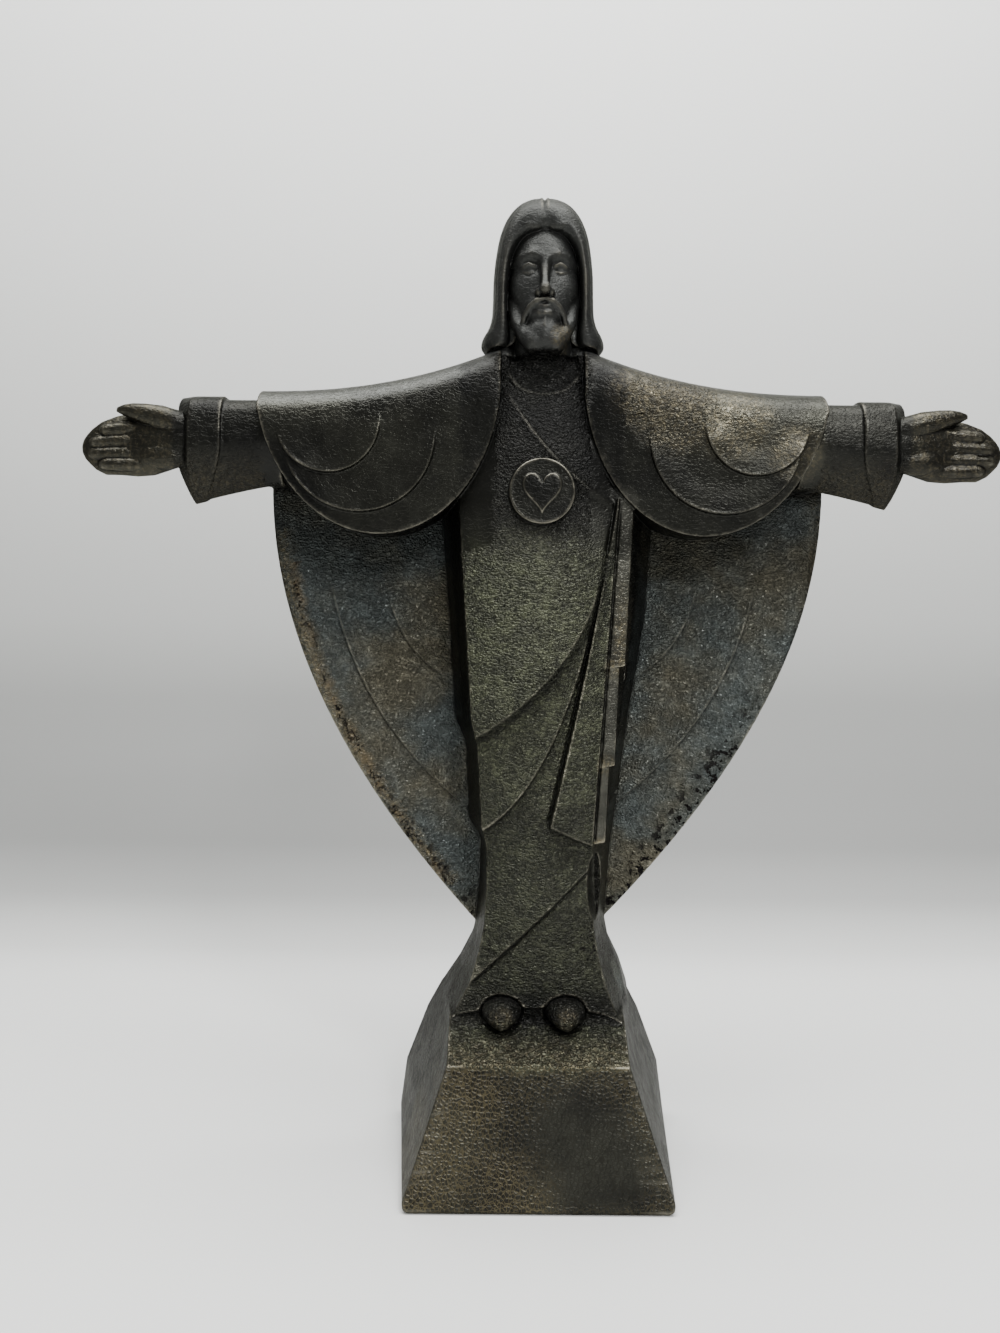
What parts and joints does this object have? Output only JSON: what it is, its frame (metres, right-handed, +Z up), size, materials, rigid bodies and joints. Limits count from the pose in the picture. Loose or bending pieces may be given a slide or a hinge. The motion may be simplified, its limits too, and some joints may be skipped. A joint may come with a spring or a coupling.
{
  "type": "jesus figurine",
  "caption": "Cast metal devotional statuette with open arms and a wide cape, standing by its own weight on a hewn block.",
  "frame": {"origin": "middle of the block's flat underside, halfway between its front and back edges", "axes": "+Z up, the figure faces -Y, +X to the right of a viewer who stands in front of it"},
  "size_m": [0.3376, 0.08, 0.3581],
  "materials": {
    "patinated_bronze": "dark brown-black patina over yellow metal, hammered texture, rubbed bright on the high edges"
  },
  "bodies": {
    "root": {"figurine": "patinated_bronze"}
  },
  "joints": []
}
